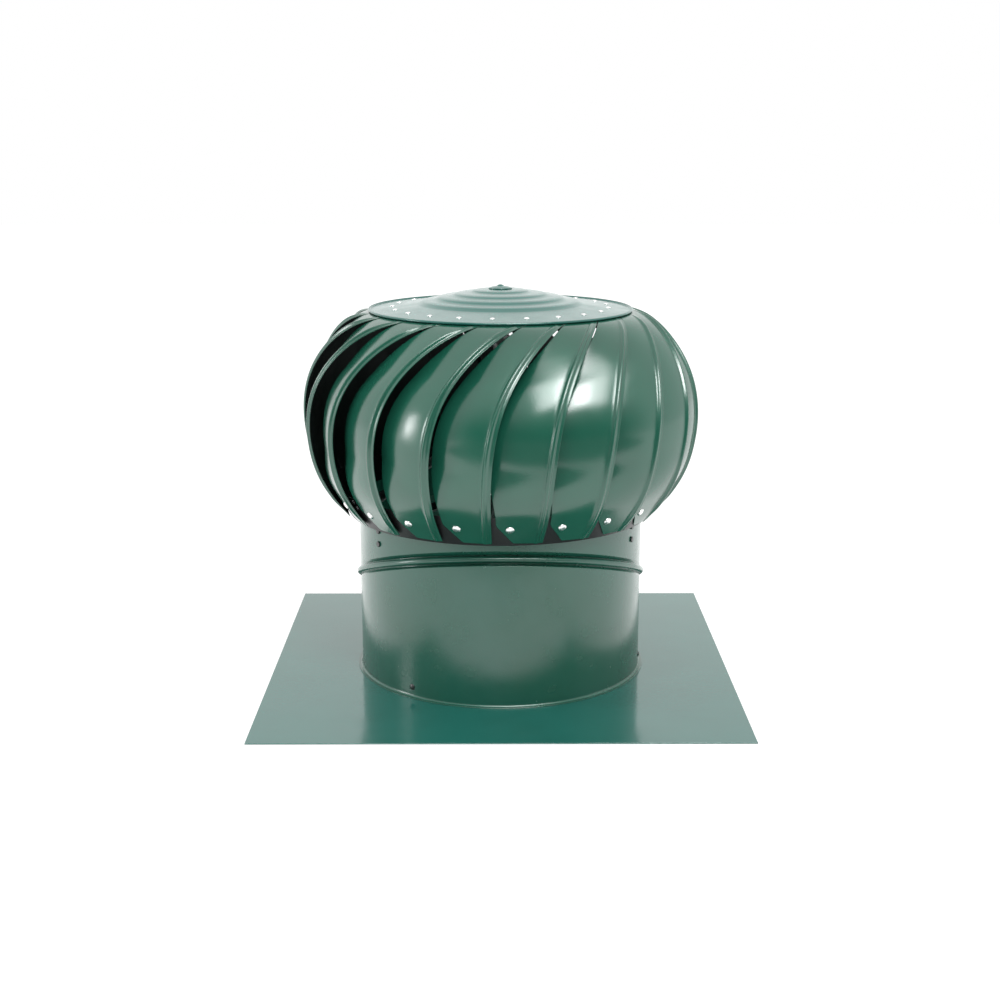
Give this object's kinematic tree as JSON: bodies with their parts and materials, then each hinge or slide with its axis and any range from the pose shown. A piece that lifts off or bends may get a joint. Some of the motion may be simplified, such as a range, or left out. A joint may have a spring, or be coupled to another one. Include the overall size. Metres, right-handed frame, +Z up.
{
  "type": "roof turbine ventilator",
  "caption": "Wind-driven roof ventilator: curved overlapping vanes spin on bearings above a round throat with a slanted swivel seam and square flashing.",
  "frame": {"origin": "centre of the flashing's underside, on the throat's axis", "axes": "+Z up along the throat and head axis, -Y towards the high side of the slanted seam, +X to the right seen from there"},
  "size_m": [0.495, 0.495, 0.417],
  "materials": {
    "green_paint": "gloss",
    "dark_ring": "satin",
    "aluminium_rivet": "satin",
    "dark_fastener": "satin",
    "zinc_steel": "zinc plated",
    "bearing_steel": "ground"
  },
  "bodies": {
    "base": {"flashing_plate": "green_paint", "lower_throat": "green_paint", "collar_rivets": "dark_fastener"},
    "neck": {"upper_throat": "green_paint", "brace_hub": "bearing_steel", "brace_leg_1": "bearing_steel", "brace_leg_2": "bearing_steel", "brace_leg_3": "bearing_steel", "brace_screws": "dark_fastener", "hub_bolts": "zinc_steel", "shaft": "zinc_steel", "bearing_spacer": "zinc_steel", "shaft_lower_nut": "zinc_steel", "shaft_top_nut": "zinc_steel", "shaft_washer": "zinc_steel", "lower_inner_race": "bearing_steel", "upper_inner_race": "bearing_steel"},
    "head": {"arm_rivets": "aluminium_rivet", "bearing_plate": "zinc_steel", "cap": "green_paint", "cap_button": "green_paint", "cap_rivets": "aluminium_rivet", "lower_circlip": "zinc_steel", "lower_outer_race": "bearing_steel", "lower_ring": "dark_ring", "ring_rivets": "aluminium_rivet", "spider_arm_1": "zinc_steel", "spider_arm_2": "zinc_steel", "spider_arm_3": "zinc_steel", "spider_bolts": "zinc_steel", "spider_hub": "zinc_steel", "upper_circlip": "zinc_steel", "upper_outer_race": "bearing_steel", "vane_01": "green_paint", "vane_02": "green_paint", "vane_03": "green_paint", "vane_04": "green_paint", "vane_05": "green_paint", "vane_06": "green_paint", "vane_07": "green_paint", "vane_08": "green_paint", "vane_09": "green_paint", "vane_10": "green_paint", "vane_11": "green_paint", "vane_12": "green_paint", "vane_13": "green_paint", "vane_14": "green_paint", "vane_15": "green_paint", "vane_16": "green_paint", "vane_17": "green_paint", "vane_18": "green_paint", "vane_19": "green_paint", "vane_20": "green_paint", "vane_21": "green_paint"},
    "lower_balls": {"lower_bearing_balls": "bearing_steel"},
    "upper_balls": {"upper_bearing_balls": "bearing_steel"}
  },
  "joints": [
    {"name": "seam_swivel", "type": "hinge", "parent": "base", "child": "neck", "pos_m": [0, 0, 0.102], "axis": [0, 0.3502, 0.9367], "range_deg": [0, 180]},
    {"name": "head_spin", "type": "hinge", "parent": "neck", "child": "head", "pos_m": [0, 0, 0.2], "axis": [0, 0, 1], "continuous": true},
    {"name": "lower_ball_roll", "type": "hinge", "parent": "neck", "child": "lower_balls", "pos_m": [0, 0, 0.232], "axis": [0, 0, 1], "continuous": true},
    {"name": "upper_ball_roll", "type": "hinge", "parent": "neck", "child": "upper_balls", "pos_m": [0, 0, 0.381], "axis": [0, 0, 1], "continuous": true}
  ],
  "couplings": [
    {"joint": "lower_ball_roll", "follows": "head_spin", "ratio": 0.619},
    {"joint": "upper_ball_roll", "follows": "head_spin", "ratio": 0.619}
  ]
}
